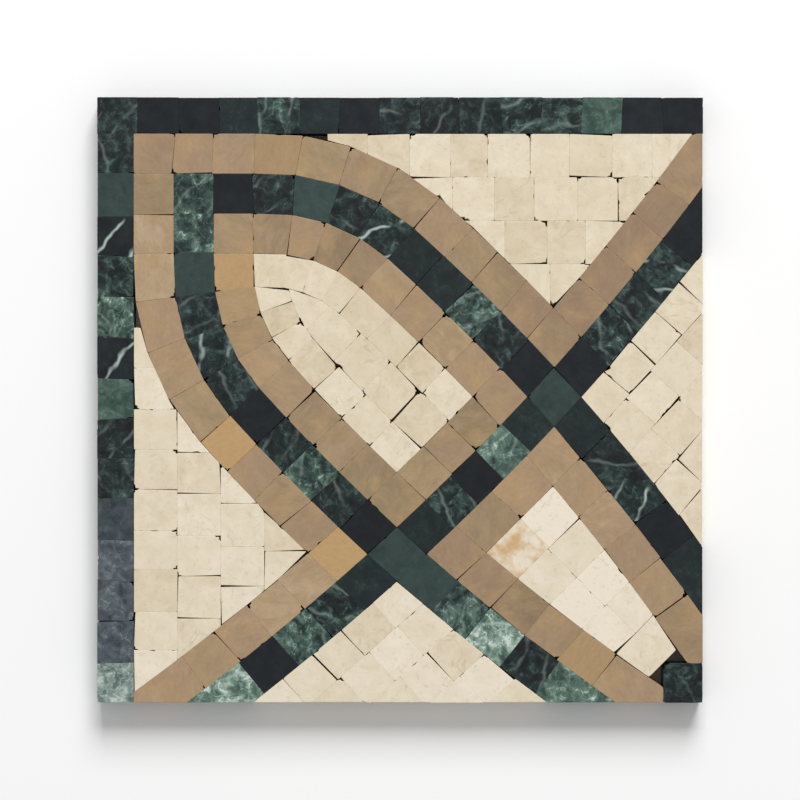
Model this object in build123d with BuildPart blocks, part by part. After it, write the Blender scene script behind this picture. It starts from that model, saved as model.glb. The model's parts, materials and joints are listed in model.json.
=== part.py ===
from build123d import *
import os
import random
from math import atan2, ceil, cos, pi, sin

# Corner tile of a hand-cut marble mosaic border: stones glued face up on a glass-fibre mesh.
# Millimetres. The origin is the middle of the back and +Z goes up through the face.
# The border's outer corner is at -X +Y, its inner corner at +X -Y, and the pattern mirrors
# across the diagonal between them. The border runs on from the +X and -Y sides.

# Sizes of the stones and of the mesh
TILE_SIDE = 200.0
MESH_THICKNESS = 0.8
MESH_MARGIN = 1.5  # from the stones' outer edge to the mesh's trimmed edge
STONE_THICKNESS = 9.2
STONE_WIDTH = 13.0  # stones of the ribbons, of their borders and of the fields
LEAF_WIDTH = 10.8  # stones of the leaf's outer courses
ROW_WIDTH = 12.0  # stones of the two edge rows
JOINT = 0.2  # open gap between neighbours, set tight
ARRIS = 0.2  # worn top edge
CUT_WANDER = 0.6  # how far a hand-cut joint strays from its place
BLUNT_TIP = 2.0  # thinnest end to which a wedge of stone is cut

# The paths of the ribbons
BEND_START = 57.0  # straight run of an outer ribbon from the tile's outer edge
BEND_RADIUS = 65.0
BEND_TURN = 42.0  # degrees
RIBBON_EXIT = 40.0  # from the inner corner to where an outer ribbon leaves the tile
CROSS_ENTRY = 40.5  # from the tile's outer edge to where the cross ribbon enters it
CROSS_BULGE = 7.5  # how far the cross ribbon bows towards the inner corner

# Joint lines, as distances from the middle of a ribbon or from the tile's edge
HALF = TILE_SIDE / 2
PITCH = STONE_WIDTH + JOINT
RIBBON_LINE = PITCH / 2  # between a ribbon and its tan border
BORDER_LINE = RIBBON_LINE + PITCH  # between the border and a cream field
LEAF_LINE = BORDER_LINE + LEAF_WIDTH + JOINT  # between the leaf's outer courses and its heart
ROW_LINE = ROW_WIDTH + JOINT / 2  # between an edge row and the rest
GUIDE_DEPTH = ROW_LINE + BORDER_LINE  # from the tile's edge to the middle of a ribbon
FIELD_TOP = HALF - ROW_WIDTH - JOINT
STUD_EDGE = HALF - STONE_WIDTH - JOINT / 2

# The least that a mason cuts
FIRST_STONE = PITCH / 3  # length of the stone that starts a band
LAST_STONE = PITCH / 2  # length of the stone before a band's even ones
SHORT_SIDE = BLUNT_TIP / 2
SPLINTER = BLUNT_TIP / 4  # mean width, as twice the area over the girth
HALVINGS = 40  # of the range in which a crossing is sought

hand = random.Random(5)
laying_plane = Plane.XY.offset(MESH_THICKNESS)
os.makedirs("parts", exist_ok=True)

# The upper ribbon runs in from the outer edge, bends and sweeps out of the +X side.
with BuildLine() as ribbon_guide:
    run = Line((-HALF, HALF - GUIDE_DEPTH), (BEND_START - HALF, HALF - GUIDE_DEPTH))
    bend = JernArc(run @ 1, run % 1, BEND_RADIUS, -BEND_TURN)
    sweep = TangentArc(bend @ 1, (HALF, RIBBON_EXIT - HALF), tangent=bend % 1)
    Line(sweep @ 1, sweep @ 1 + (sweep % 1) * 2 * BORDER_LINE)
ribbon = ribbon_guide.wire()

# Stations of the joints that neighbouring bands share round the bend, where they fan out
bend_end = run.length + bend.length
bend_joints = [ROW_LINE + PITCH * index for index in range(1, ceil((bend_end - ROW_LINE) / PITCH) + 1)]

# The cross ribbon is one shallow arc from the +X side to the -Y side.
with BuildLine() as cross_guide:
    SagittaArc((CROSS_ENTRY - HALF, -HALF), (HALF, HALF - CROSS_ENTRY), -CROSS_BULGE)
cross = cross_guide.edge()
cross_centre = cross.arc_center
DIAGONAL = -pi / 4  # heading from the outer corner to the inner corner
RIGHT = Vector(1, 0)
UP = Vector(0, 1)


def by_ribbon(station, offset):
    """Point at a length along the upper ribbon, offset towards the +X +Y side."""
    middle = ribbon.position_at(station, PositionMode.LENGTH)
    ahead = ribbon.tangent_at(station, PositionMode.LENGTH)
    return Vector(middle.X - ahead.Y * offset, middle.Y + ahead.X * offset)


def by_cross(station, offset):
    """Point at a length along the cross ribbon from the diagonal, offset to the outer corner."""
    heading = DIAGONAL + station / cross.radius
    reach = cross.radius - offset
    return cross_centre + Vector(cos(heading), sin(heading)) * reach


def cross_station(point):
    """Length along the cross ribbon at which a point lies."""
    ray = point - cross_centre
    return (atan2(ray.Y, ray.X) - DIAGONAL) * cross.radius


def mirrored(point):
    """The same point on the other side of the diagonal."""
    return Vector(-point.Y, -point.X)


def by_left_ribbon(station, offset):
    """Point beside the left ribbon, the mirror image of the upper one."""
    return mirrored(by_ribbon(station, offset))


def by_cross_left(station, offset):
    """Point beside the cross ribbon, measured from the diagonal towards its other end."""
    return mirrored(by_cross(station, offset))


def solve(gap, low, high):
    """Station between low and high at which the gap passes through nought."""
    sign = gap(low) > 0
    for _ in range(HALVINGS):
        middle = (low + high) / 2
        if (gap(middle) > 0) == sign:
            low = middle
        else:
            high = middle
    return low


def crossing(offset, across):
    """Station of the ribbon at which its side line meets a side line of the cross ribbon."""

    def gap(station):
        from_centre = (by_ribbon(station, offset) - cross_centre).length
        return cross.radius - across - from_centre

    return solve(gap, BEND_START, ribbon.length)


def crossings(offsets, across):
    """The same for both side lines of a band."""
    return [crossing(offset, across) for offset in offsets]


def cross_meets(offset, sides):
    """Stations of the cross ribbon at which its two side lines meet a side line of the ribbon."""
    return [cross_station(by_ribbon(crossing(offset, side), offset)) for side in sides]


def joints(starts, ends, shared):
    """Pairs of stations of a band's joints: the shared ones, then even ones to its end."""
    start, end = sum(starts) / 2, sum(ends) / 2
    pairs = [starts]
    pairs += [[joint] * 2 for joint in shared if start + FIRST_STONE < joint < end - LAST_STONE]
    last = pairs[-1]
    count = max(1, round((sum(ends) - sum(last)) / 2 / PITCH))
    for index in range(1, count + 1):
        pairs.append([a + (b - a) * index / count for a, b in zip(last, ends)])
    return pairs


def side_line(point_at, offset, start, end, shared=()):
    """Corners of a side line, one at each joint of the band beside it."""
    return [point_at(station, offset) for station, _ in joints([start] * 2, [end] * 2, shared)]


def side_exit(point_at, offset):
    """Station at which a side line passes out of the +X side."""
    return solve(lambda station: point_at(station, offset).X - HALF, 0, ribbon.length)


def course(point_at, sides, starts, ends, shared=(), overrun=0):
    """Outlines of the stones of one band, each cut straight, from its start to its end."""
    low, high = sides[0] + JOINT / 2, sides[1] - JOINT / 2
    cuts = joints(starts, ends, shared)
    for index in range(1, len(cuts) - 1):
        cuts[index] = [station + hand.uniform(-CUT_WANDER, CUT_WANDER) for station in cuts[index]]
    cuts[-1] = [station + overrun for station in cuts[-1]]
    stones = []
    for near, far in zip(cuts, cuts[1:]):
        corners = [point_at(near[0] + JOINT / 2, low), point_at(far[0] - JOINT / 2, low)]
        corners += [point_at(far[1] - JOINT / 2, high), point_at(near[1] + JOINT / 2, high)]
        stones.append(corners)
    return [inside_edge_rows(corners) for corners in stones] if overrun else stones


def cut(corners, towards, level):
    """What a straight cut leaves of an outline on the near side of a level."""
    kept = []
    for one, other in zip(corners, corners[1:] + corners[:1]):
        here = one.dot(towards) - level
        there = other.dot(towards) - level
        if here <= 0:
            kept.append(one)
        if here * there < 0:
            kept.append(one + (other - one) * (here / (here - there)))
    return kept


def trim(corners):
    """An outline without the sides too short to cut, or none for a splinter."""
    before = corners[-1:] + corners[:-1]
    kept = [one for one, other in zip(corners, before) if (one - other).length > SHORT_SIDE]
    after = kept[1:] + kept[:1]
    area = abs(sum(one.X * other.Y - one.Y * other.X for one, other in zip(kept, after))) / 2
    girth = sum((one - other).length for one, other in zip(kept, after))
    return kept if 2 * area > girth * SPLINTER else []


def inside_edge_rows(corners):
    """The part of a stone inside the edge rows and the tile's own edge."""
    for towards, level in ((RIGHT, HALF), (-UP, HALF), (UP, FIELD_TOP), (-RIGHT, FIELD_TOP)):
        corners = cut(corners, towards, level)
    return corners


def bed(name, stones):
    """A node of stones from their outlines, with worn top edges."""
    with BuildPart() as node:
        with BuildSketch(laying_plane):
            for corners in filter(None, map(trim, stones)):
                Polygon(*corners, align=None)
        extrude(amount=STONE_THICKNESS)
        top = node.faces().group_by(Axis.Z)[-1]
        chamfer(top.edges(), length=ARRIS)
    node.part.label = name
    export_step(node.part, f"parts/{name}.step")


def field(outline, along):
    """Outlines of the stones that fill a field, in even rows along one heading."""
    along = along.normalized()
    across = along.rotate(Axis.Z, 90)
    levels = [corner.dot(across) for corner in outline]
    rows = max(1, round((max(levels) - min(levels)) / PITCH))
    height = (max(levels) - min(levels)) / rows
    stones = []
    for row in range(rows):
        level = min(levels) + row * height
        strip = cut(cut(outline, across, level + height - JOINT / 2), -across, -level - JOINT / 2)
        places = [corner.dot(along) for corner in strip]
        count = max(1, round((max(places) - min(places)) / PITCH))
        width = (max(places) - min(places)) / count
        joints = [min(places) + width * index for index in range(count + 1)]
        for index in range(1, count):
            joints[index] += hand.uniform(-CUT_WANDER, CUT_WANDER)
        joints[0] -= JOINT
        joints[-1] += JOINT
        for near, far in zip(joints, joints[1:]):
            stones.append(cut(cut(strip, along, far - JOINT / 2), -along, -near - JOINT / 2))
    return stones


# Glass-fibre mesh, one thin sheet under all the stones
with BuildPart() as mesh_backing:
    with BuildSketch():
        Rectangle(TILE_SIDE - 2 * MESH_MARGIN, TILE_SIDE - 2 * MESH_MARGIN)
    extrude(amount=MESH_THICKNESS)
mesh_backing.part.label = "mesh_backing"
export_step(mesh_backing.part, "parts/mesh_backing.step")


# Edge rows, of which the top one holds the outer corner, and the stud at the inner corner
def by_top(station, offset):
    """Point at a length along the top edge, offset into the tile."""
    return Vector(station - HALF, HALF - offset)


def by_left(station, offset):
    """Point at a length down the left edge, offset into the tile."""
    return mirrored(by_top(station, offset))


row_sides = (-JOINT / 2, ROW_LINE)
row_end = TILE_SIDE + JOINT / 2
bed("top_edge_row", course(by_top, row_sides, [-JOINT / 2] * 2, [row_end] * 2))
bed("left_edge_row", course(by_left, row_sides, [ROW_LINE] * 2, [row_end] * 2))
stud = [Vector(HALF - STONE_WIDTH, STONE_WIDTH - HALF), Vector(HALF - STONE_WIDTH, -HALF)]
stud += [Vector(HALF, -HALF), Vector(HALF, STONE_WIDTH - HALF)]
bed("corner_stud", [stud])

# Bands beside the ribbons, as pairs of joint lines
GREEN = (-RIBBON_LINE, RIBBON_LINE)
OUTER_TAN = (RIBBON_LINE, BORDER_LINE)
INNER_TAN = (-BORDER_LINE, -RIBBON_LINE)
LEAF_COURSE = (-LEAF_LINE, -BORDER_LINE)

# Depths of the joint lines of the straight runs at the outer corner
outer_start = GUIDE_DEPTH - BORDER_LINE
green_start = GUIDE_DEPTH - RIBBON_LINE
inner_start = GUIDE_DEPTH + RIBBON_LINE
leaf_start = GUIDE_DEPTH + BORDER_LINE
heart_start = GUIDE_DEPTH + LEAF_LINE


def square(exits):
    """A square cut halfway along a slanted exit."""
    return [sum(exits) / 2] * 2


def on_diagonal(offset):
    """Station at which a side line of the ribbon leaves the diagonal."""

    def gap(station):
        point = by_ribbon(station, offset)
        return point.X + point.Y

    return solve(gap, 0, 2 * heart_start)


# Each ribbon with its borders, from the outer corner to the side where it leaves the tile.
# The upper ribbon's bands hold the corner stones, and the left one's bands butt against them.
green_exits = [side_exit(by_ribbon, side) for side in GREEN]
stud_exit = solve(lambda station: by_ribbon(station, INNER_TAN[0]).Y + STUD_EDGE, BEND_START, ribbon.length)
tan_exits = [stud_exit, side_exit(by_ribbon, INNER_TAN[1])]
under_corner = solve(lambda station: by_ribbon(station, -BORDER_LINE).X + HALF - heart_start, 0, TILE_SIDE)
corner_foot = by_left_ribbon(under_corner, -BORDER_LINE).X
foot_station = solve(lambda station: by_ribbon(station, -LEAF_LINE).X - corner_foot, 0, TILE_SIDE)
leaf_starts = {"upper": [foot_station, leaf_start], "left": [on_diagonal(-LEAF_LINE), under_corner]}
leaf_stones = []
for side, point_at, butt in (("upper", by_ribbon, 0), ("left", by_left_ribbon, PITCH)):
    near, far = crossings(GREEN, RIBBON_LINE), crossings(GREEN, -RIBBON_LINE)
    stones = course(point_at, GREEN, [green_start + butt] * 2, near, bend_joints)
    stones += course(point_at, GREEN, far, square(green_exits), overrun=BORDER_LINE)
    bed(f"green_ribbon_{side}", stones)

    corner = crossings(OUTER_TAN, BORDER_LINE)
    stones = course(point_at, OUTER_TAN, [outer_start + butt] * 2, corner, bend_joints)
    stones += course(point_at, OUTER_TAN, corner, crossings(OUTER_TAN, RIBBON_LINE))
    bed(f"tan_outer_{side}", stones)

    corner = crossings(INNER_TAN, BORDER_LINE)
    stones = course(point_at, INNER_TAN, [inner_start + butt] * 2, corner, bend_joints)
    stones += course(point_at, INNER_TAN, corner, crossings(INNER_TAN, RIBBON_LINE))
    bed(f"tan_leaf_{side}", stones)

    corner = crossings(INNER_TAN, -BORDER_LINE)
    stones = course(point_at, INNER_TAN, crossings(INNER_TAN, -RIBBON_LINE), corner)
    stones += course(point_at, INNER_TAN, corner, square(tan_exits), overrun=BORDER_LINE)
    towards = RIGHT if butt else -UP
    bed(f"tan_arrow_{side}", [cut(corners, towards, STUD_EDGE - JOINT / 2) for corners in stones])

    ends = crossings(LEAF_COURSE, BORDER_LINE)
    leaf_stones += course(point_at, LEAF_COURSE, leaf_starts[side], ends, bend_joints)

# The cross ribbon and its tan borders, each half from the diagonal to its own side of the tile.
# The cross ribbon has a stone of its own where it passes over each outer ribbon.
outer_meet = cross_meets(RIBBON_LINE, GREEN)
inner_meet = cross_meets(-RIBBON_LINE, GREEN)
green_exits = [side_exit(by_cross, side) for side in GREEN]
tan_meet = cross_meets(BORDER_LINE, OUTER_TAN)
row_exit = solve(lambda station: by_cross(station, BORDER_LINE).Y - FIELD_TOP, 0, TILE_SIDE)
tan_exits = [side_exit(by_cross, RIBBON_LINE), row_exit]
cross_stones = []
for side, point_at in (("upper", by_cross), ("left", by_cross_left)):
    cross_stones += course(point_at, GREEN, inner_meet, outer_meet)
    cross_stones += course(point_at, GREEN, outer_meet, square(green_exits), overrun=BORDER_LINE)
    stones = course(point_at, OUTER_TAN, tan_meet, square(tan_exits), overrun=BORDER_LINE)
    bed(f"tan_cross_{side}", stones)


def course_across(sides, meet):
    """Stones along the cross ribbon from one outer ribbon to the other."""
    return course(by_cross, sides, [-station for station in meet], meet)


bed("green_cross_ribbon", cross_stones + course_across(GREEN, inner_meet))
bed("tan_leaf_end", course_across(OUTER_TAN, cross_meets(-BORDER_LINE, OUTER_TAN)))
bed("tan_arrow_end", course_across(INNER_TAN, cross_meets(-BORDER_LINE, INNER_TAN)))

# Edges of the cream fields, half a joint outside the bands
field_side = BORDER_LINE + JOINT / 2
bare_side = RIBBON_LINE + JOINT / 2
heart_side = LEAF_LINE + JOINT / 2

# Fields between an edge row and an outer ribbon, laid in rows along the edge row
apex = crossing(field_side, field_side)
tip = solve(lambda station: by_ribbon(station, field_side).Y - FIELD_TOP + BLUNT_TIP, BEND_START, apex)
cross_apex = cross_station(by_ribbon(apex, field_side))
cross_top = solve(lambda station: by_cross(station, field_side).Y - FIELD_TOP, cross_apex, TILE_SIDE)
outline = [Vector(by_ribbon(tip, field_side).X, FIELD_TOP)]
outline += side_line(by_ribbon, field_side, tip, apex, bend_joints)
outline += side_line(by_cross, field_side, cross_apex, cross_top)[1:]
bed("cream_top_field", field(outline, RIGHT))
bed("cream_left_field", field([mirrored(corner) for corner in outline], UP))

# Fields in the forks where the ribbons leave the tile, laid in rows along the cross ribbon
fork = crossing(bare_side, -bare_side)
cross_fork = cross_station(by_ribbon(fork, bare_side))
outline = side_line(by_ribbon, bare_side, fork, side_exit(by_ribbon, bare_side))
outline += reversed(side_line(by_cross, -bare_side, cross_fork, side_exit(by_cross, -bare_side))[1:])
along = outline[-1] - outline[0]
bed("cream_right_field", field(outline, along))
bed("cream_bottom_field", field([mirrored(corner) for corner in outline], mirrored(along)))

# The arrow between the ribbons, cut off square at the stud
arrow = crossing(-field_side, -field_side)
stud_line = 2 * (STUD_EDGE - JOINT / 2)


def to_stud(station):
    """How far the arrow's edge has passed the line where the arrow is cut off."""
    point = by_ribbon(station, -field_side)
    return point.X - point.Y - stud_line


arrow_tip = solve(to_stud, arrow, ribbon.length)
shaft = side_line(by_ribbon, -field_side, arrow, arrow_tip)
outline = shaft + [mirrored(corner) for corner in reversed(shaft)]
bed("cream_arrow_field", field(outline, RIGHT + UP))

# The leaf: a course along each side and a heart between them
heart_end = crossing(-heart_side, field_side)
flank = side_line(by_ribbon, -heart_side, on_diagonal(-heart_side), heart_end, bend_joints)
outline = flank + [mirrored(corner) for corner in reversed(flank[1:])]
bed("cream_leaf_field", leaf_stones + field(outline, RIGHT + UP))
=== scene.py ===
import json
import math
import random

import bmesh
import bpy
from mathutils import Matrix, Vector, noise


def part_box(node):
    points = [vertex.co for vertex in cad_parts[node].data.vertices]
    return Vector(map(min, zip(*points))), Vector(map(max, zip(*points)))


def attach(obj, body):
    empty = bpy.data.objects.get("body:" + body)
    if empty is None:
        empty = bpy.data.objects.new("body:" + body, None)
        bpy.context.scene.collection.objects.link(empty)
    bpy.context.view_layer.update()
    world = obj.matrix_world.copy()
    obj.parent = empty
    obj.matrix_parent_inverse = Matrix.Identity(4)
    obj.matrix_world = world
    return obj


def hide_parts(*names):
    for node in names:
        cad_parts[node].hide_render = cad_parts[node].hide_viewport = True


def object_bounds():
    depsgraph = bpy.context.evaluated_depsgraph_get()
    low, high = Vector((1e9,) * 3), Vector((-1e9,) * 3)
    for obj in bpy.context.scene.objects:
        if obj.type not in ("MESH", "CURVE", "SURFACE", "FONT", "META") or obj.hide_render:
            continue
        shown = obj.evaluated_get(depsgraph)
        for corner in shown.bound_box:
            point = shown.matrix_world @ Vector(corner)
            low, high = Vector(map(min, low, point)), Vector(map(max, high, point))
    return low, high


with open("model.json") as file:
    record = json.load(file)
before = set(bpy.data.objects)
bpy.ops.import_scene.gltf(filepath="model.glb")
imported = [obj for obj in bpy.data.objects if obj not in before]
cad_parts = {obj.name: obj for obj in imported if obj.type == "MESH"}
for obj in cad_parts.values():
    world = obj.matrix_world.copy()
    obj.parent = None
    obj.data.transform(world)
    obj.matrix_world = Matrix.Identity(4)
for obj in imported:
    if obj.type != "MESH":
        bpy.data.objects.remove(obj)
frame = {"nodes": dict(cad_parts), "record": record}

# Corner tile of a marble mosaic border, lying face up: hand-cut stones with worn, nicked edges,
# set tight on a woven glass-fibre mesh. Metres, in the frame of the CAD.

MM = 0.001
cad_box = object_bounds()
hand = random.Random(11)


def per_mm(size):
    """Texture scale whose features are about this many millimetres."""
    return 1 / (size * MM)


# Wear of the stones
SPACING = 0.5 * MM  # between the points of a stone's outline
SNUG = 0.1 * MM  # how far a tight stone closes the joint that the CAD leaves
TRUE = 0.3 * MM  # how far the outer sides of the edge stones stand back at most
ARRIS = 0.05 * MM  # width of the worn top edge
RIM = 0.08 * MM  # flat ring inside the arris
SPALL = 1.6 * MM  # how far down its side a stone is rough
SUNK = 0.06 * MM  # how far a stone may lie below its neighbours
GRIT = 0.06 * MM  # depth of the fine raggedness of the top edge
GRIT_SIZE = 0.8 * MM
STRAIGHT = 0.95  # cosine past which two sides count as one
ON_EDGE = 0.5 * MM  # how near the tile's outer side a point counts as on it
SAME_POINT = 0.001 * MM  # how near two points of the CAD mesh count as one
SAME_LEVEL = 0.01 * MM  # how near the lowest point a face counts as a foot
FLAT = 0.01  # angle, in radians, under which two faces count as one

# Least and most reach, then least and most depth, in millimetres
CORNER_WEAR = (0.4, 1.0), (0.0, 0.16)
CORNER_NICK = (1.0, 2.2), (0.4, 1.0)
SIDE_NICK = (0.5, 1.5), (0.1, 0.4)
KEPT_AT_EDGE = 0.3  # share of a corner's wear at the tile's outer side
STEEP = 1.6  # how fast a nick deepens from its rim
RAGGED = 0.5  # how much the grit shows in a nick
LOW_BITE = 0.7  # share of a bite that is gone at the foot of the rough band; the rest goes above

# How each marble breaks under the hammer: share of open joints, their width,
# share of nicked corners, nicks on a side at most
HABITS = {
    "green_marble": (0.12, 0.22 * MM, 0.10, 1),
    "tan_marble": (0.16, 0.32 * MM, 0.20, 1),
    "cream_marble": (0.20, 0.55 * MM, 0.20, 2),
}

# How roughly the stones of a field are cut, against the rest of their marble
ROUGH_CUT = {
    "cream_arrow_field": 0.2,
    "cream_bottom_field": 0.3,
    "cream_left_field": 0.6,
    "cream_top_field": 0.7,
}

# What each kind of green marble gives the eye: tone, clouding, veins, coolness
KINDS = {
    "black": (0.06, 0.14, 0.0, 0.75),
    "dark": (0.15, 0.20, 0.0, 0.2),
    "deep": (0.33, 0.12, 0.0, 0.15),
    "dusky": (0.34, 0.24, 0.0, 0.7),
    "flecked": (0.15, 0.60, 0.2, 0.2),
    "mottled": (0.23, 0.80, 0.25, 0.1),
    "sage": (0.39, 0.85, 0.25, 0.05),
    "jade": (0.47, 0.35, 0.1, 0.0),
    "light": (0.56, 0.65, 0.3, 0.0),
    "pale": (0.72, 0.75, 0.8, 0.0),
    "frosted": (0.72, 0.70, 0.5, 0.4),
    "veined": (0.09, 0.24, 1.0, 0.5),
    "swirled": (0.20, 0.60, 1.0, 0.1),
    "slate": (0.46, 0.42, 0.1, 0.9),
}

ACROSS_VEINS = Vector((0.6, 0.8, 0.3))  # the way square to the white veins
VEIN_WANDER = 0.7  # how far a vein strays, in spacings
FLECK_TONE = 0.4  # how much lighter the flecks are than their stone

# The kinds in order along each row and ribbon, from its left or upper end
GREEN_ORDER = {
    "top_edge_row": "flecked black black dark mottled dark black flecked"
    " flecked flecked mottled mottled jade black black",
    "left_edge_row": "flecked deep veined mottled sage veined jade flecked"
    " flecked dusky slate slate slate frosted",
    "green_ribbon_upper": "sage black flecked deep flecked swirled dark dark"
    " sage flecked black dark flecked swirled black dark",
    "green_ribbon_left": "sage deep flecked swirled flecked black flecked sage"
    " flecked black deep sage pale flecked light",
    "green_cross_ribbon": "pale black sage mottled dark deep dark mottled black"
    " light dark deep black mottled flecked swirled black",
    "corner_stud": "flecked",
}

# Stones that stand out from their neighbours: a point on each, in millimetres, and how strongly
OCHRE = {
    (-40, 81): 0.35,
    (-53, 39): 0.8,
    (-55, 26): 0.35,
    (-55, -17): 1.0,
    (-19, -51): 1.0,
    (66, -87): 0.5,
    (70, -50): 0.35,
}
STAINED = {(42, -48): 1.0}
ON_STONE = 6 * MM  # how far such a point may lie from the stone's middle

# How much paler the stones of a course or field are than the rest, or darker
COURSE_TONE = {
    "cream_left_field": 0.18,
    "cream_bottom_field": 0.18,
    "cream_arrow_field": 0.40,
    "tan_outer_upper": -0.12,
    "tan_outer_left": 0.06,
    "tan_cross_upper": -0.28,
    "tan_cross_left": 0.22,
}


def srgb(code):
    """Linear colour from a hex code."""
    parts = [int(code[i:i + 2], 16) / 255 for i in (1, 3, 5)]
    return tuple(p / 12.92 if p <= 0.04045 else ((p + 0.055) / 1.055) ** 2.4 for p in parts) + (1.0,)


def add(tree, kind, inputs, out=0, stops=(), **settings):
    """Adds a shader node with its values, links, colour stops and settings, and gives one output."""
    node = tree.nodes.new("ShaderNode" + kind)
    for name, value in settings.items():
        setattr(node, name, value)
    for name, value in inputs.items():
        if isinstance(value, bpy.types.NodeSocket):
            tree.links.new(value, node.inputs[name])
        else:
            node.inputs[name].default_value = value
    for index, (place, code) in enumerate(stops):
        points = node.color_ramp.elements
        point = points[index] if index < 2 else points.new(place)
        point.position = place
        point.color = srgb(code)
    return node.outputs[out]


def new_material(name):
    """An empty material and its surface shader."""
    material = bpy.data.materials.new(name)
    material.use_nodes = True
    return material, material.node_tree, material.node_tree.nodes["Principled BSDF"]


def plain(name, code, roughness):
    """A plain even surface."""
    material, _, shader = new_material(name)
    shader.inputs["Base Color"].default_value = srgb(code)
    shader.inputs["Roughness"].default_value = roughness
    return material


# What the three marbles share
def stone_inputs(tree):
    """What a marble reads from its stones: coordinates turned for each, and the stone's own picks."""
    place = add(tree, "TexCoord", {}, "Object")
    shift = add(tree, "Attribute", {}, "Vector", attribute_name="shift")
    moved = add(tree, "VectorMath", {0: place, 1: shift}, operation="ADD")
    chance = add(tree, "SeparateXYZ", {"Vector": shift})
    turn = add(tree, "Math", {0: chance, 1: math.pi}, operation="MULTIPLY")
    coords = add(tree, "VectorRotate", {"Vector": moved, "Angle": turn}, rotation_type="Z_AXIS")
    pick = add(tree, "Attribute", {}, "Vector", attribute_name="pick")
    tone, clouding, veining = (add(tree, "SeparateXYZ", {"Vector": pick}, axis) for axis in "XYZ")
    accent = add(tree, "Attribute", {}, "Fac", attribute_name="accent")
    return coords, tone, clouding, veining, accent


def clouded(tree, coords, tone, clouding, size):
    """A stone's tone with clouds of a size in millimetres."""
    cloud = {"Vector": coords, "Scale": per_mm(size), "Detail": 7.0, "Roughness": 0.66, "Distortion": 0.5}
    drift = {"Value": add(tree, "TexNoise", cloud), "From Min": 0.3, "From Max": 0.7}
    drift = add(tree, "MapRange", {**drift, "To Min": -0.5, "To Max": 0.5})
    return add(tree, "Math", {0: drift, 1: clouding, 2: tone}, operation="MULTIPLY_ADD")


def drawn(tree, value, width):
    """Lines where a value passes one half."""
    away = add(tree, "Math", {0: value, 1: 0.5}, operation="SUBTRACT")
    near = add(tree, "Math", {0: away}, operation="ABSOLUTE")
    return add(tree, "MapRange", {"Value": near, "From Max": width, "To Min": 1.0, "To Max": 0.0})


def in_patches(tree, coords, size, lines, share):
    """Lines that fade in and out in patches, weighed by a share."""
    patch = add(tree, "TexNoise", {"Vector": coords, "Scale": per_mm(size), "Detail": 2.0})
    shown = add(tree, "MapRange", {"Value": patch, "From Min": 0.41, "From Max": 0.6})
    kept = add(tree, "Math", {0: lines, 1: shown}, operation="MULTIPLY")
    return add(tree, "Math", {0: kept, 1: share}, operation="MULTIPLY")


def threads(tree, coords, size, width, share):
    """Fine threads that wind about with a size in millimetres."""
    winding = {"Vector": coords, "Scale": per_mm(size), "Detail": 3.0, "Distortion": 0.8}
    lines = drawn(tree, add(tree, "TexNoise", winding), width)
    return in_patches(tree, coords, 0.6 * size, lines, share)


def veins(tree, coords, spacing, width, share):
    """Long veins a spacing apart in millimetres, slanted through the stone and wandering a little."""
    slant = ACROSS_VEINS * per_mm(spacing)
    steady = add(tree, "VectorMath", {0: coords, 1: slant}, "Value", operation="DOT_PRODUCT")
    bend = add(tree, "TexNoise", {"Vector": coords, "Scale": per_mm(spacing), "Detail": 2.0})
    place = add(tree, "Math", {0: bend, 1: VEIN_WANDER, 2: steady}, operation="MULTIPLY_ADD")
    lines = drawn(tree, add(tree, "Math", {0: place}, operation="FRACT"), width)
    return in_patches(tree, coords, 0.9 * spacing, lines, share)


def honed(tree, shader, coords, colour, rough):
    """Surface of a honed stone: its colour, an uneven sheen and a fine saw grain."""
    sheen = add(tree, "TexNoise", {"Vector": coords, "Scale": per_mm(5.0), "Detail": 4.0})
    span = {"Value": sheen, "From Min": 0.3, "From Max": 0.7, "To Min": rough - 0.08, "To Max": rough + 0.08}
    grain = add(tree, "TexNoise", {"Vector": coords, "Scale": per_mm(0.5), "Detail": 4.0, "Roughness": 0.7})
    bump = add(tree, "Bump", {"Height": grain, "Strength": 0.3, "Distance": 0.12 * MM})
    tree.links.new(colour, shader.inputs["Base Color"])
    tree.links.new(add(tree, "MapRange", span), shader.inputs["Roughness"])
    tree.links.new(bump, shader.inputs["Normal"])


def green_marble():
    """Honed serpentine: near-black to sage green, clouded and flecked, here and there a white vein."""
    material, tree, shader = new_material("honed_green_marble")
    coords, tone, clouding, veining, cool = stone_inputs(tree)
    depth = clouded(tree, coords, tone, clouding, size=4.5)
    flecks = threads(tree, coords, size=4.0, width=0.05, share=clouding)
    depth = add(tree, "Math", {0: flecks, 1: FLECK_TONE, 2: depth}, operation="MULTIPLY_ADD")
    greens = ((0.0, "#14191b"), (1.0, "#cbd8cf"), (0.2, "#1f2c2b"))
    greens += ((0.42, "#3a4f48"), (0.66, "#5f786b"), (0.86, "#95ab9d"))
    blues = ((0.0, "#15181d"), (1.0, "#a9b1b4"), (0.2, "#22272e"), (0.5, "#565d65"))
    green = add(tree, "ValToRGB", {"Fac": depth}, stops=greens)
    blue = add(tree, "ValToRGB", {"Fac": depth}, stops=blues)
    body = add(tree, "MixRGB", {"Fac": cool, "Color1": green, "Color2": blue})
    vein = veins(tree, coords, spacing=9.0, width=0.09, share=veining)
    colour = add(tree, "MixRGB", {"Fac": vein, "Color1": body, "Color2": srgb("#b4c6bc")})
    honed(tree, shader, coords, colour, rough=0.42)
    shader.inputs["Specular IOR Level"].default_value = 0.3
    return material


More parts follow.
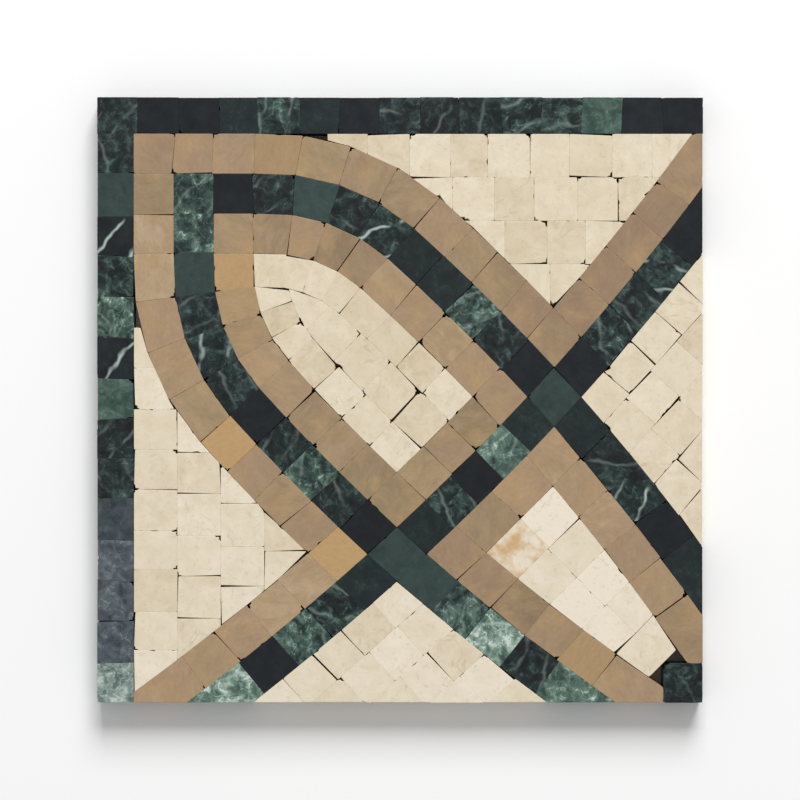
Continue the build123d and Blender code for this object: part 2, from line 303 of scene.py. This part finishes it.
def tan_marble():
    """Honed tan marble: warm brown, softly clouded with ochre and rose, a few stones ochre all through."""
    material, tree, shader = new_material("honed_tan_marble")
    coords, tone, clouding, rosy, ochre = stone_inputs(tree)
    layers = add(tree, "Mapping", {"Vector": coords, "Scale": (1.0, 1.8, 1.0)})
    depth = clouded(tree, layers, tone, clouding, size=9.0)
    browns = ((0.0, "#836f52"), (1.0, "#c9b798"), (0.35, "#9b8565"), (0.65, "#ad9471"))
    body = add(tree, "ValToRGB", {"Fac": depth}, stops=browns)
    body = add(tree, "MixRGB", {"Fac": rosy, "Color1": body, "Color2": srgb("#ae8e76")})
    cloud = add(tree, "TexNoise", {"Vector": coords, "Scale": per_mm(11.0), "Detail": 4.0})
    warm = add(tree, "MapRange", {"Value": cloud, "From Min": 0.48, "From Max": 0.72, "To Max": 0.45})
    share = add(tree, "Math", {0: warm, 1: ochre}, operation="MAXIMUM")
    body = add(tree, "MixRGB", {"Fac": share, "Color1": body, "Color2": srgb("#bd9a6a")})
    specks = add(tree, "TexNoise", {"Vector": layers, "Scale": per_mm(2.0), "Detail": 6.0, "Roughness": 0.72})
    shade = {"Value": specks, "From Min": 0.3, "From Max": 0.7, "To Min": 0.9, "To Max": 1.08}
    shade = add(tree, "MapRange", shade)
    colour = add(tree, "MixRGB", {"Fac": 1.0, "Color1": body, "Color2": shade}, blend_type="MULTIPLY")
    honed(tree, shader, coords, colour, rough=0.46)
    return material


def cream_marble():
    """Honed cream marble: pale and warm, with faint clouds, specks and hair veins, rarely a stain."""
    material, tree, shader = new_material("honed_cream_marble")
    coords, tone, clouding, veining, stain = stone_inputs(tree)
    depth = clouded(tree, coords, tone, clouding, size=6.0)
    creams = ((0.0, "#c5b18f"), (1.0, "#f0e5d1"), (0.3, "#d8c8aa"), (0.65, "#e5d8bf"))
    body = add(tree, "ValToRGB", {"Fac": depth}, stops=creams)
    hairs = threads(tree, coords, size=12.0, width=0.02, share=veining)
    body = add(tree, "MixRGB", {"Fac": hairs, "Color1": body, "Color2": srgb("#b9a583")})
    specks = add(tree, "TexNoise", {"Vector": coords, "Scale": per_mm(1.6), "Detail": 5.0, "Roughness": 0.7})
    speck = add(tree, "MapRange", {"Value": specks, "From Min": 0.56, "From Max": 0.74, "To Max": 0.45})
    body = add(tree, "MixRGB", {"Fac": speck, "Color1": body, "Color2": srgb("#b7a27c")})
    cloud = add(tree, "TexNoise", {"Vector": coords, "Scale": per_mm(6.0), "Detail": 3.0})
    patch = add(tree, "MapRange", {"Value": cloud, "From Min": 0.42, "From Max": 0.62, "To Max": 0.8})
    share = add(tree, "Math", {0: patch, 1: stain}, operation="MULTIPLY")
    colour = add(tree, "MixRGB", {"Fac": share, "Color1": body, "Color2": srgb("#c99a5c")})
    honed(tree, shader, coords, colour, rough=0.44)
    return material


# Stones, each shaped from the foot of its CAD solid
def stone_feet(node):
    """A mesh with one face, turned up, for the foot of each stone of a node."""
    mesh = bmesh.new()
    mesh.from_mesh(frame["nodes"][node].data)
    bmesh.ops.remove_doubles(mesh, verts=mesh.verts, dist=SAME_POINT)
    foot = min(vertex.co.z for vertex in mesh.verts) + SAME_LEVEL
    upper = [face for face in mesh.faces if max(vertex.co.z for vertex in face.verts) > foot]
    bmesh.ops.delete(mesh, geom=upper, context="FACES")
    bmesh.ops.dissolve_limit(mesh, angle_limit=FLAT, verts=mesh.verts, edges=mesh.edges)
    bmesh.ops.reverse_faces(mesh, faces=mesh.faces)
    return mesh


def at_edge(*points):
    """Whether all the points lie on one outer side of the tile."""
    sides = [(axis, corner[axis]) for corner in cad_box for axis in (0, 1)]
    return any(all(abs(point[axis] - level) < ON_EDGE for point in points) for axis, level in sides)


def set_sides(face, open_share, open_width):
    """Draws a stone's sides a little off true: most close the joint, some open it like a wedge."""
    corners = list(face.verts)
    intos, gaps = [], []
    for start, end in zip(corners, corners[1:] + corners[:1]):
        side = end.co - start.co
        intos.append(Vector((-side.y, side.x, 0)).normalized())
        gap = [-SNUG, -SNUG]
        if at_edge(start.co, end.co):
            gap = [hand.uniform(0, TRUE)] * 2
        elif hand.random() < open_share:
            gap[hand.randrange(2)] = hand.uniform(0.2, 1.0) * open_width
        gaps.append(gap)
    for index, corner in enumerate(corners):
        one, other = intos[index - 1], intos[index]
        before, after = gaps[index - 1][1], gaps[index][0]
        bend = one.dot(other)
        if bend > STRAIGHT:
            corner.co += other * (before + after) / 2
        else:
            move = one * (before - bend * after) + other * (after - bend * before)
            corner.co += move / (1 - bend ** 2)


def nicks(face, nicked, side_nicks):
    """Where a stone is nicked: place, reach and depth of each bite."""
    sites = []
    for corner in face.verts:
        reach, depth = (hand.uniform(*span) * MM for span in CORNER_WEAR)
        if hand.random() < nicked:
            reach, depth = (hand.uniform(*span) * MM for span in CORNER_NICK)
        sites.append((corner.co.copy(), reach, depth * (KEPT_AT_EDGE if at_edge(corner.co) else 1.0)))
    for edge in face.edges:
        for _ in range(hand.choice((0, 0, 0, hand.randint(0, side_nicks)))):
            place = edge.verts[0].co.lerp(edge.verts[1].co, hand.random())
            sites.append((place, *(hand.uniform(*span) * MM for span in SIDE_NICK)))
    return sites


def wear_outline(mesh, bite, face, habit, rough):
    """Divides a foot's sides and notes on each point how far the stone's top edge is broken in."""
    open_share, open_width, nicked, side_nicks = habit
    set_sides(face, open_share * rough, open_width)
    sites = nicks(face, nicked * rough, side_nicks)
    middle = face.calc_center_median()
    drop = Vector((0, 0, hand.uniform(0, SUNK)))
    for edge in list(face.edges):
        cuts = max(1, round(edge.calc_length() / SPACING) - 1)
        bmesh.ops.subdivide_edges(mesh, edges=[edge], cuts=cuts)
    for vertex in face.verts:
        jag = noise.noise((vertex.co.x / GRIT_SIZE, vertex.co.y / GRIT_SIZE, 0.5))
        depth = max(0.0, jag) * GRIT * rough
        for place, reach, deep in sites:
            near = max(0.0, 1 - (vertex.co - place).length / reach)
            depth = max(depth, deep * min(1.0, near * STEEP) * (1 + RAGGED * jag))
        vertex[bite] = (middle - vertex.co).normalized() * depth - drop


def raise_stones(mesh, bite, high):
    """Raises the worn feet to stones: ragged sides, a worn arris and a flat honed face."""
    faces = list(mesh.faces)
    for level, share, keep_foot in ((high - SPALL, LOW_BITE, True), (high - ARRIS, 1 - LOW_BITE, False)):
        made = bmesh.ops.extrude_face_region(mesh, geom=faces, use_keep_orig=keep_foot)["geom"]
        faces = [item for item in made if isinstance(item, bmesh.types.BMFace)]
        for vertex in {corner for face in faces for corner in face.verts}:
            vertex.co.xy += vertex[bite].xy * share
            vertex.co.z = level + vertex[bite].z
    bmesh.ops.inset_individual(mesh, faces=faces, thickness=ARRIS, use_even_offset=True)
    tops = [vertex for face in faces for vertex in face.verts]
    bmesh.ops.translate(mesh, vec=(0, 0, ARRIS), verts=tops)
    bmesh.ops.inset_individual(mesh, faces=faces, thickness=RIM, use_even_offset=True)
    bmesh.ops.recalc_face_normals(mesh, faces=mesh.faces)


def new_piece(name, mesh, material):
    """A mesh as a piece that rides on the tile."""
    data = bpy.data.meshes.new(name)
    mesh.to_mesh(data)
    mesh.free()
    piece = bpy.data.objects.new(name, data)
    bpy.context.scene.collection.objects.link(piece)
    data.materials.append(material)
    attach(piece, "root")
    return piece


def from_left(face):
    """Where a stone comes in the order of the drawing: from the left, then from below."""
    return [round(place, 4) for place in face.calc_center_median()]


# Each stone's own picks: tone, clouding, and a third and an accent that its marble names
def standing_out(spots, middle):
    """How strongly a stone stands out: the value of the spot that lies on it, or nothing."""
    on_it = [value for spot, value in spots.items() if (Vector(spot) * MM - middle.xy).length < ON_STONE]
    return max(on_it, default=0.0)


def green_picks(node, middles):
    """The kinds of green marble in their order along the row or ribbon."""
    heading = Vector((0, -1, 0)) if "left" in node else Vector((1, 0, 0))
    order = sorted(range(len(middles)), key=lambda index: middles[index].dot(heading))
    kinds = dict(zip(order, GREEN_ORDER[node].split()))
    picks = []
    for index in range(len(middles)):
        tone, *rest = KINDS[kinds[index]]
        picks.append((tone + hand.uniform(-0.03, 0.03), *rest))
    return picks


def tan_picks(node, middles):
    """Tan stones of nearly one tone, some rosier, the ochre ones in their places."""
    picks = []
    for middle in middles:
        tone = hand.triangular(0.08, 0.68, 0.34) + COURSE_TONE.get(node, 0)
        picks.append((tone, hand.uniform(0.25, 0.5), hand.uniform(0.0, 0.45), standing_out(OCHRE, middle)))
    return picks


def cream_picks(node, middles):
    """Cream stones of nearly one tone, a few hair-veined, the stained one in its place."""
    picks = []
    for middle in middles:
        tone = hand.triangular(0.25, 0.75, 0.6) + COURSE_TONE.get(node, 0)
        veining = hand.choice((0, 0, 0.15, 0.4))
        picks.append((tone, hand.uniform(0.3, 0.55), veining, standing_out(STAINED, middle)))
    return picks


marbles = {
    "green_marble": (green_marble(), green_picks),
    "tan_marble": (tan_marble(), tan_picks),
    "cream_marble": (cream_marble(), cream_picks),
}
for part in frame["record"]["subparts"]:
    node, slot = part["node"], part["material_slot"]
    if slot not in marbles:
        continue
    material, picks_for = marbles[slot]
    stones = stone_feet(node)
    for name in ("shift", "pick"):
        stones.faces.layers.float_vector.new(name)
    accent = stones.faces.layers.float.new("accent")
    bite = stones.verts.layers.float_vector.new("bite")
    shift, pick = (stones.faces.layers.float_vector[name] for name in ("shift", "pick"))
    feet = sorted(stones.faces, key=from_left)
    picks = picks_for(node, [face.calc_center_median() for face in feet])
    for face, (*picked, strength) in zip(feet, picks):
        face[shift] = [hand.uniform(-1, 1) for _ in range(3)]
        face[pick] = picked
        face[accent] = strength
        wear_outline(stones, bite, face, HABITS[slot], ROUGH_CUT.get(node, 1.0))
    raise_stones(stones, bite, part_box(node)[1][2])
    stones.verts.layers.float_vector.remove(bite)
    piece = new_piece(node + "_stones", stones, material)
    piece.data.shade_smooth()
    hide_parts(node)

# Woven glass-fibre mesh with the film of glue that holds the stones
WEAVE_PITCH = 4.5 * MM
STRAND_WIDTH = 0.9 * MM
STRAND_THICKNESS = 0.22 * MM
WEAVE_DEPTH = 0.6 * MM
FILM_DEPTH = 0.35 * MM


def weave(low, high):
    """Flat strands both ways, each over one and under the next."""
    mesh = bmesh.new()
    count = round((high[0] - low[0]) / WEAVE_PITCH)
    pitch = (high[0] - low[0] - STRAND_WIDTH) / count
    rise = (WEAVE_DEPTH - STRAND_THICKNESS) / 2
    for way in (0, 1):
        for strand in range(count + 1):
            made = bmesh.ops.create_grid(mesh, x_segments=4 * count, y_segments=1, size=0.5)["verts"]
            bmesh.ops.scale(mesh, vec=(pitch * count, STRAND_WIDTH, 1), verts=made)
            for vertex in made:
                vertex.co.z = rise * math.cos(math.pi * (vertex.co.x / pitch + strand + way + count / 2))
            bmesh.ops.translate(mesh, vec=(0, (strand - count / 2) * pitch, 0), verts=made)
            if way:
                for vertex in made:
                    vertex.co.xy = vertex.co.yx
    bmesh.ops.recalc_face_normals(mesh, faces=mesh.faces)
    bmesh.ops.solidify(mesh, geom=mesh.faces[:], thickness=STRAND_THICKNESS)
    middle = (Vector(low) + Vector(high)) / 2
    lift = low[2] - min(vertex.co.z for vertex in mesh.verts)
    bmesh.ops.translate(mesh, vec=(middle.x, middle.y, lift), verts=mesh.verts)
    return mesh


# Glass fibre: off-white and dull. The dried glue: milky and half gloss.
low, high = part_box("mesh_backing")
glass_fibre = plain("woven_glass_fibre", "#e9e6dc", 0.6)
weave_piece = new_piece("glass_fibre_weave", weave(low, high), glass_fibre)
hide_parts("mesh_backing")
film = bmesh.new()
bmesh.ops.create_cube(film, size=1.0)
bmesh.ops.scale(film, vec=(high[0] - low[0], high[1] - low[1], FILM_DEPTH), verts=film.verts)
bmesh.ops.translate(film, vec=(0, 0, high[2] - FILM_DEPTH / 2), verts=film.verts)
new_piece("glue_film", film, plain("dried_glue", "#cfc6b0", 0.35))

# Floor, light and camera
FLOOR_REACH = 6.0
FLOOR_GAP = 0.02 * MM  # keeps the floor clear of the mesh
KEY_SIZE = 1.5
KEY_POWER = 92.0
KEY_PLACE = (0.35, 2.42, 1.76)
SKY_LEVEL = 0.42
CAMERA_LENS = 135
CAMERA_HEIGHT = 1.0
scene = bpy.context.scene
floor_mesh = bmesh.new()
bmesh.ops.create_grid(floor_mesh, x_segments=1, y_segments=1, size=FLOOR_REACH)
floor_data = bpy.data.meshes.new("floor")
floor_mesh.to_mesh(floor_data)
floor_mesh.free()
floor_data.materials.append(plain("matte_white_floor", "#ffffff", 0.9))
floor = bpy.data.objects.new("floor", floor_data)
floor.location.z = -FLOOR_GAP
scene.collection.objects.link(floor)

key_data = bpy.data.lights.new("key", "AREA")
key_data.size = KEY_SIZE
key_data.energy = KEY_POWER
key = bpy.data.objects.new("key", key_data)
key.location = KEY_PLACE
key.rotation_euler = (-key.location).to_track_quat("-Z", "Y").to_euler()
scene.collection.objects.link(key)
scene.world = bpy.data.worlds.new("studio")
scene.world.use_nodes = True
sky = scene.world.node_tree.nodes["Background"]
sky.inputs["Color"].default_value = (1.0, 1.0, 1.0, 1.0)
sky.inputs["Strength"].default_value = SKY_LEVEL

camera_data = bpy.data.cameras.new("camera")
camera_data.lens = CAMERA_LENS
camera = bpy.data.objects.new("camera", camera_data)
camera.location = (0.0, 0.0, CAMERA_HEIGHT)
scene.collection.objects.link(camera)
scene.camera = camera
scene.view_settings.view_transform = "Standard"
